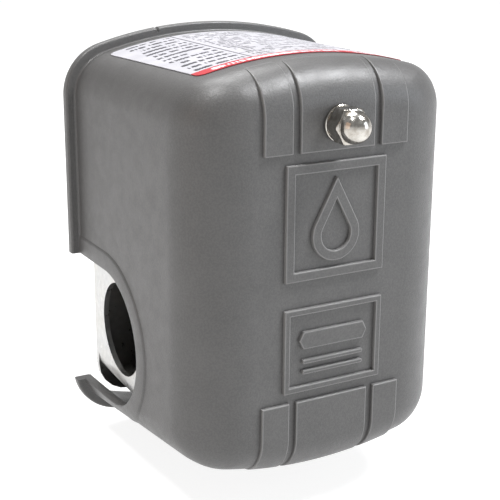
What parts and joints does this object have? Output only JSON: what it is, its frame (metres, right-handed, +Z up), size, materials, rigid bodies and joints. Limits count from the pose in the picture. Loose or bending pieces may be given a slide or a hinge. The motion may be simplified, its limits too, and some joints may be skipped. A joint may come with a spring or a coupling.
{
  "type": "pressure switch",
  "caption": "Air or water pressure switch: grey pull-off cover over a steel frame with conduit ears, springs, lever and contact block.",
  "frame": {"origin": "centre of the pressure port's mouth, behind the switch", "axes": "+Y out of the pressure port, away from the cover's front face; +Z up, along the cover's height; +X to the right when the front is looked at"},
  "size_m": [0.072, 0.0907, 0.1003],
  "materials": {
    "cover_plastic": "moulded mid-grey plastic with a soft satin skin",
    "label": "white printed label with a red edge band",
    "nickel": "polished nickel plate",
    "zinc_steel": "bright zinc plate on stamped steel",
    "zinc_casting": "zinc-plated die casting, satin",
    "spring_steel": "dark drawn spring wire",
    "brass": "plain brass, lightly tarnished",
    "phenolic": "black moulded phenolic",
    "rubber": "black nitrile sheet",
    "green_zinc": "green-dyed grounding screw"
  },
  "bodies": {
    "frame": {"base_frame": "zinc_steel", "port_flange": "zinc_casting", "diaphragm": "rubber", "flange_screw_1": "zinc_steel", "flange_screw_2": "zinc_steel", "flange_screw_3": "zinc_steel", "flange_screw_4": "zinc_steel", "range_stud": "zinc_steel", "range_spring": "spring_steel", "differential_stud": "zinc_steel", "differential_spring": "spring_steel", "lever_pivot_pin": "nickel", "contact_block": "phenolic", "contact_block_screw_1": "zinc_steel", "contact_block_screw_2": "zinc_steel", "carrier_pin": "nickel", "ground_screw_left": "green_zinc", "ground_screw_right": "green_zinc", "terminal_1": "brass", "clamp_plate_1": "zinc_steel", "terminal_screw_1": "brass", "terminal_2": "brass", "clamp_plate_2": "zinc_steel", "terminal_screw_2": "brass", "terminal_3": "brass", "clamp_plate_3": "zinc_steel", "terminal_screw_3": "brass", "terminal_4": "brass", "clamp_plate_4": "zinc_steel", "terminal_screw_4": "brass"},
    "cover": {"cover": "cover_plastic", "info_label": "label"},
    "cap_nut": {"cap_nut": "nickel"},
    "piston": {"piston": "brass"},
    "lever": {"operating_lever": "zinc_steel"},
    "carrier": {"contact_carrier": "phenolic", "moving_contact_left": "brass", "moving_contact_right": "brass", "snap_spring": "spring_steel"},
    "range_seat": {"range_spring_seat": "zinc_steel"},
    "range_nut": {"range_nut": "zinc_steel"},
    "differential_seat": {"differential_seat": "zinc_steel"},
    "differential_nut": {"differential_nut": "zinc_steel"}
  },
  "joints": [
    {"name": "cover_pull", "type": "slide", "parent": "frame", "child": "cover", "axis": [0, -1, 0], "range_m": [0, 0.09]},
    {"name": "cap_nut_turn", "type": "hinge", "parent": "cover", "child": "cap_nut", "pos_m": [0, -0.0821, 0.0358], "axis": [0, 1, 0], "continuous": true},
    {"name": "lever_tilt", "type": "hinge", "parent": "frame", "child": "lever", "pos_m": [0, -0.0255, -0.014], "axis": [1, 0, 0], "range_deg": [0, 1], "deforming": ["range_spring", "differential_spring"]},
    {"name": "piston_slide", "type": "slide", "parent": "frame", "child": "piston", "axis": [0, -1, 0], "range_m": [0, 0.0004]},
    {"name": "carrier_snap", "type": "hinge", "parent": "frame", "child": "carrier", "pos_m": [0, -0.027, -0.0275], "axis": [-1, 0, 0], "range_deg": [0, 6.5], "deforming": ["snap_spring"]},
    {"name": "range_nut_turn", "type": "hinge", "parent": "range_seat", "child": "range_nut", "pos_m": [0, -0.0541, 0.0358], "axis": [0, 1, 0], "range_deg": [0, 2160]},
    {"name": "range_seat_slide", "type": "slide", "parent": "frame", "child": "range_seat", "axis": [0, 1, 0], "range_m": [0, 0.00476], "deforming": ["range_spring"]},
    {"name": "differential_nut_turn", "type": "hinge", "parent": "differential_seat", "child": "differential_nut", "pos_m": [0, -0.0476, 0.022], "axis": [0, 1, 0], "range_deg": [0, 2160]},
    {"name": "differential_seat_slide", "type": "slide", "parent": "frame", "child": "differential_seat", "axis": [0, 1, 0], "range_m": [0, 0.00476], "deforming": ["differential_spring"]}
  ],
  "couplings": [
    {"joint": "piston_slide", "follows": "lever_tilt", "m_per_rad": 0.014},
    {"joint": "carrier_snap", "follows": "lever_tilt", "ratio": 6},
    {"joint": "range_nut_turn", "follows": "range_seat_slide", "rad_per_m": 7915.8},
    {"joint": "differential_nut_turn", "follows": "differential_seat_slide", "rad_per_m": 7915.8}
  ]
}
